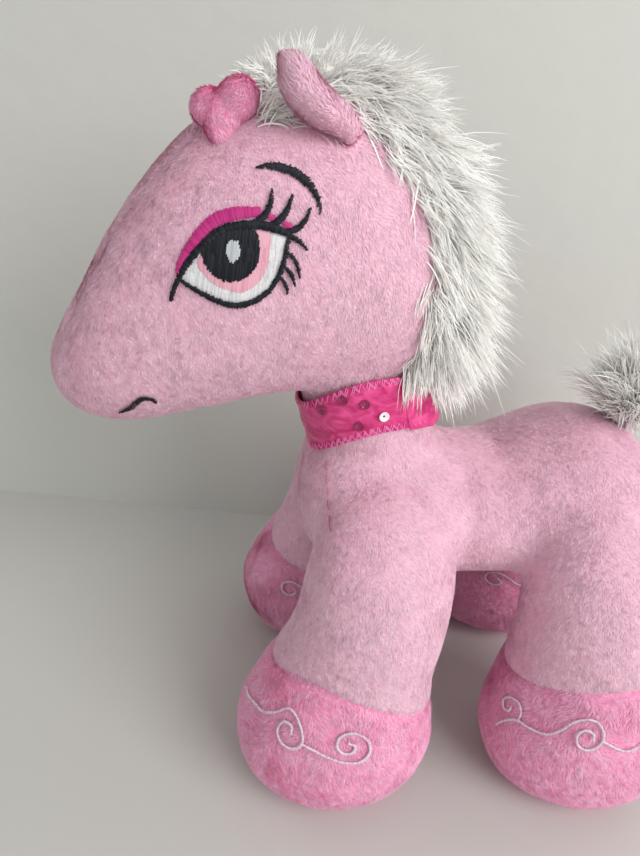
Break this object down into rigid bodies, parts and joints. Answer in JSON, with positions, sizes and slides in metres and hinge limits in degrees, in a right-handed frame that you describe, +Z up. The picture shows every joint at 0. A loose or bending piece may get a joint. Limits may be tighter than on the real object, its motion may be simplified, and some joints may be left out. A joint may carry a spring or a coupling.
{
  "type": "plush unicorn",
  "caption": "Standing plush unicorn foal with embroidered eyes, a padded heart on the forehead, white faux-fur mane and tail, sequinned ribbon collar and bright padded hooves.",
  "frame": {"origin": "on the ground, under the middle of the toy's bounding box", "axes": "+Z up, the toy faces -Y, its left side is +X"},
  "size_m": [0.1526, 0.2623, 0.2609],
  "materials": {
    "light_pink_velour": "short combed velour pile, matt",
    "hot_pink_velour": "slightly crushed longer velour pile, matt",
    "white_fur": "long clumped faux fur",
    "fibre_fill": "loose polyester fibre, not visible",
    "pink_ribbon": "satin ribbon with zigzag stitched edges",
    "sequin": "glossy cupped sequin",
    "white_thread": "satin stitch, slight sheen",
    "black_thread": "satin stitch, slight sheen",
    "silver_thread": "pale silver satin stitch, slight sheen"
  },
  "bodies": {
    "torso": {"belly_gusset": "light_pink_velour", "torso_side_left": "light_pink_velour", "torso_side_right": "light_pink_velour", "torso_stuffing": "fibre_fill"},
    "neck": {"neck_sleeve": "light_pink_velour", "neck_stuffing": "fibre_fill", "collar_ribbon": "pink_ribbon", "collar_overlap_end": "pink_ribbon", "sequin_1": "sequin", "sequin_2": "sequin", "sequin_3": "sequin", "sequin_4": "sequin", "sequin_5": "sequin", "sequin_6": "sequin"},
    "head": {"forehead_gusset": "light_pink_velour", "head_side_left": "light_pink_velour", "head_side_right": "light_pink_velour", "head_stuffing": "fibre_fill", "mane_fur": "white_fur", "eye_outline_left": "black_thread", "eye_patch_left": "white_thread", "brow_stitching_left": "black_thread", "mouth_stitching_left": "black_thread", "eye_outline_right": "black_thread", "eye_patch_right": "white_thread", "brow_stitching_right": "black_thread", "mouth_stitching_right": "black_thread"},
    "ear_left": {"ear_left_velour": "light_pink_velour", "ear_left_stuffing": "fibre_fill"},
    "ear_right": {"ear_right_velour": "light_pink_velour", "ear_right_stuffing": "fibre_fill"},
    "heart": {"heart_velour": "hot_pink_velour", "heart_stuffing": "fibre_fill"},
    "tail": {"tail_fur": "white_fur"},
    "front_left_leg": {"front_left_leg_sleeve": "light_pink_velour", "front_left_leg_hoof_cuff": "hot_pink_velour", "front_left_leg_sole": "hot_pink_velour", "front_left_leg_stuffing": "fibre_fill", "front_left_leg_swirl_stitching": "silver_thread"},
    "front_right_leg": {"front_right_leg_sleeve": "light_pink_velour", "front_right_leg_hoof_cuff": "hot_pink_velour", "front_right_leg_sole": "hot_pink_velour", "front_right_leg_stuffing": "fibre_fill", "front_right_leg_swirl_stitching": "silver_thread"},
    "rear_left_leg": {"rear_left_leg_sleeve": "light_pink_velour", "rear_left_leg_hoof_cuff": "hot_pink_velour", "rear_left_leg_sole": "hot_pink_velour", "rear_left_leg_stuffing": "fibre_fill", "rear_left_leg_swirl_stitching": "silver_thread"},
    "rear_right_leg": {"rear_right_leg_sleeve": "light_pink_velour", "rear_right_leg_hoof_cuff": "hot_pink_velour", "rear_right_leg_sole": "hot_pink_velour", "rear_right_leg_stuffing": "fibre_fill", "rear_right_leg_swirl_stitching": "silver_thread"}
  },
  "joints": [
    {"name": "head_turn", "type": "hinge", "parent": "torso", "child": "neck", "pos_m": [0, -0.0191, 0.1335], "axis": [0, -0.2907, 0.9568], "range_deg": [-18, 18]},
    {"name": "head_nod", "type": "hinge", "parent": "neck", "child": "head", "pos_m": [0, -0.02433, 0.15072], "axis": [1, 0, 0], "range_deg": [-8, 10]},
    {"name": "ear_left_flop", "type": "hinge", "parent": "head", "child": "ear_left", "pos_m": [0.0275, -0.0411, 0.236], "axis": [1, 0, 0], "range_deg": [-18, 8]},
    {"name": "ear_right_flop", "type": "hinge", "parent": "head", "child": "ear_right", "pos_m": [-0.0275, -0.0411, 0.236], "axis": [1, 0, 0], "range_deg": [-18, 8]},
    {"name": "heart_wobble", "type": "hinge", "parent": "head", "child": "heart", "pos_m": [0.0145, -0.0721, 0.2315], "axis": [1, 0, 0], "range_deg": [-8, 8]},
    {"name": "front_left_hip", "type": "hinge", "parent": "torso", "child": "front_left_leg", "pos_m": [0.042, -0.0171, 0.104], "axis": [1, 0, 0], "range_deg": [-10, 6]},
    {"name": "front_right_hip", "type": "hinge", "parent": "torso", "child": "front_right_leg", "pos_m": [-0.042, -0.0171, 0.104], "axis": [1, 0, 0], "range_deg": [-10, 6]},
    {"name": "rear_left_hip", "type": "hinge", "parent": "torso", "child": "rear_left_leg", "pos_m": [0.045, 0.0627, 0.104], "axis": [1, 0, 0], "range_deg": [-6, 10]},
    {"name": "rear_right_hip", "type": "hinge", "parent": "torso", "child": "rear_right_leg", "pos_m": [-0.045, 0.0627, 0.104], "axis": [1, 0, 0], "range_deg": [-6, 10]},
    {"name": "tail_lift", "type": "hinge", "parent": "torso", "child": "tail", "pos_m": [0, 0.0839, 0.131], "axis": [1, 0, 0], "range_deg": [-12, 15]}
  ]
}
